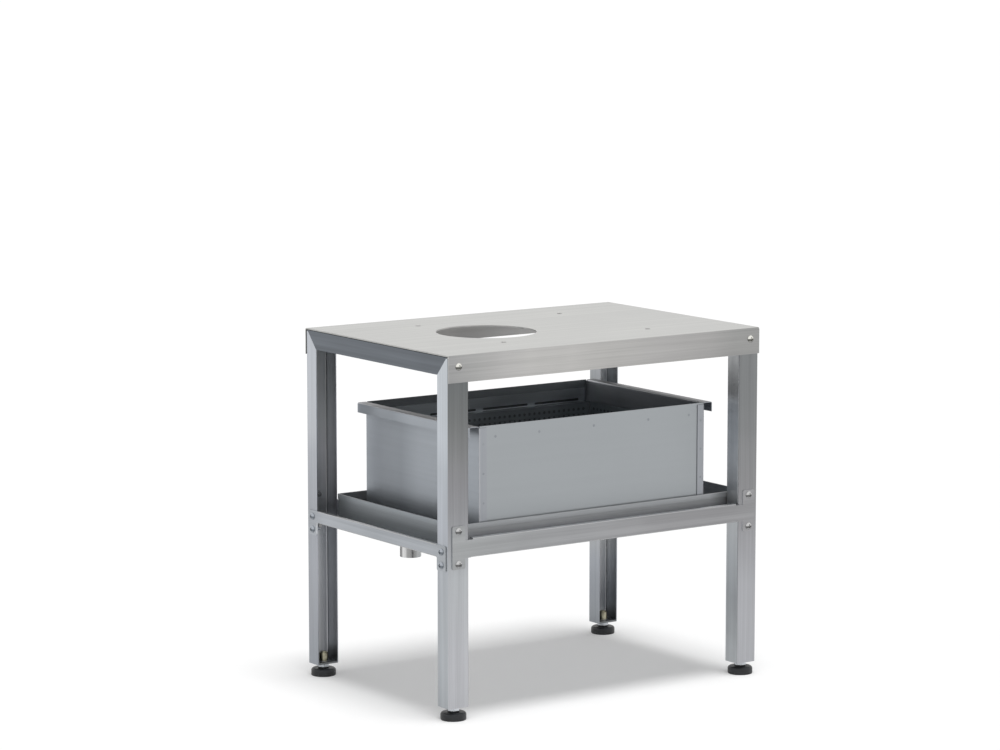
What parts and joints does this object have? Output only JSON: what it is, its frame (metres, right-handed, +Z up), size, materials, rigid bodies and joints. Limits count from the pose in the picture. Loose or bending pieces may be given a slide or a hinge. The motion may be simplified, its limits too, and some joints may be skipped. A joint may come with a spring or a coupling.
{
  "type": "machine stand",
  "caption": "Low stainless steel machine stand with folded channel legs, levelling feet, a bolted shelf, a lift-out drip tray with a drain, and a peel box with a strainer.",
  "frame": {"origin": "on the floor under the middle of the top", "axes": "+X along the stand to the right seen from the front, +Y from the front to the back, +Z up"},
  "size_m": [0.61, 0.417, 0.566],
  "materials": {
    "top_steel": "satin, grained along the stand",
    "frame_steel": "brushed along the leg",
    "shelf_steel": "satin",
    "tray_steel": "satin",
    "box_steel": "matt",
    "strainer_steel": "matt, perforated",
    "pipe_steel": "bright drawn",
    "bright_steel": "bright",
    "foot_rubber": "semi-matt black"
  },
  "bodies": {
    "frame": {"top_plate": "top_steel", "leg_front_left": "frame_steel", "leg_front_right": "frame_steel", "leg_back_left": "frame_steel", "leg_back_right": "frame_steel", "side_rail_left": "frame_steel", "side_rail_right": "frame_steel", "shelf_pan": "shelf_steel", "end_plate_front_left": "frame_steel", "end_plate_front_right": "frame_steel", "end_plate_back_left": "frame_steel", "end_plate_back_right": "frame_steel", "bush_front_left": "bright_steel", "bush_front_right": "bright_steel", "bush_back_left": "bright_steel", "bush_back_right": "bright_steel", "top_screws": "bright_steel", "top_nuts": "bright_steel", "front_ear_screws": "bright_steel", "front_ear_nuts": "bright_steel", "end_ear_screws": "bright_steel", "end_ear_nuts": "bright_steel"},
    "tray": {"drip_tray": "tray_steel", "drain_spout": "pipe_steel"},
    "peel_box": {"peel_box_body": "box_steel", "peel_box_left_end": "box_steel", "peel_box_right_end": "box_steel", "strainer_ledge_front": "box_steel", "strainer_ledge_back": "box_steel"},
    "strainer": {"strainer_walls": "strainer_steel", "strainer_base": "strainer_steel"},
    "foot_pad_front_left": {"pad_front_left": "foot_rubber"},
    "foot_stud_front_left": {"stud_front_left": "bright_steel", "hexagon_front_left": "bright_steel"},
    "foot_pad_front_right": {"pad_front_right": "foot_rubber"},
    "foot_stud_front_right": {"stud_front_right": "bright_steel", "hexagon_front_right": "bright_steel"},
    "foot_pad_back_left": {"pad_back_left": "foot_rubber"},
    "foot_stud_back_left": {"stud_back_left": "bright_steel", "hexagon_back_left": "bright_steel"},
    "foot_pad_back_right": {"pad_back_right": "foot_rubber"},
    "foot_stud_back_right": {"stud_back_right": "bright_steel", "hexagon_back_right": "bright_steel"}
  },
  "joints": [
    {"name": "tray_lift", "type": "slide", "parent": "frame", "child": "tray", "axis": [0, 0, 1], "range_m": [0, 0.036]},
    {"name": "peel_box_lift", "type": "slide", "parent": "tray", "child": "peel_box", "axis": [0, 0, 1], "range_m": [0, 0.06]},
    {"name": "strainer_lift", "type": "slide", "parent": "peel_box", "child": "strainer", "axis": [0, 0, 1], "range_m": [0, 0.05]},
    {"name": "foot_rise_front_left", "type": "slide", "parent": "frame", "child": "foot_pad_front_left", "axis": [0, 0, -1], "range_m": [0, 0.009]},
    {"name": "foot_turn_front_left", "type": "hinge", "parent": "foot_pad_front_left", "child": "foot_stud_front_left", "pos_m": [-0.281, -0.18725, 0.017], "axis": [0, 0, -1], "range_deg": [0, 2250]},
    {"name": "foot_rise_front_right", "type": "slide", "parent": "frame", "child": "foot_pad_front_right", "axis": [0, 0, -1], "range_m": [0, 0.009]},
    {"name": "foot_turn_front_right", "type": "hinge", "parent": "foot_pad_front_right", "child": "foot_stud_front_right", "pos_m": [0.281, -0.18725, 0.017], "axis": [0, 0, -1], "range_deg": [0, 2250]},
    {"name": "foot_rise_back_left", "type": "slide", "parent": "frame", "child": "foot_pad_back_left", "axis": [0, 0, -1], "range_m": [0, 0.009]},
    {"name": "foot_turn_back_left", "type": "hinge", "parent": "foot_pad_back_left", "child": "foot_stud_back_left", "pos_m": [-0.281, 0.18725, 0.017], "axis": [0, 0, -1], "range_deg": [0, 2250]},
    {"name": "foot_rise_back_right", "type": "slide", "parent": "frame", "child": "foot_pad_back_right", "axis": [0, 0, -1], "range_m": [0, 0.009]},
    {"name": "foot_turn_back_right", "type": "hinge", "parent": "foot_pad_back_right", "child": "foot_stud_back_right", "pos_m": [0.281, 0.18725, 0.017], "axis": [0, 0, -1], "range_deg": [0, 2250]}
  ],
  "couplings": [
    {"joint": "foot_turn_front_left", "follows": "foot_rise_front_left", "rad_per_m": 4188.8},
    {"joint": "foot_turn_front_right", "follows": "foot_rise_front_right", "rad_per_m": 4188.8},
    {"joint": "foot_turn_back_left", "follows": "foot_rise_back_left", "rad_per_m": 4188.8},
    {"joint": "foot_turn_back_right", "follows": "foot_rise_back_right", "rad_per_m": 4188.8}
  ]
}
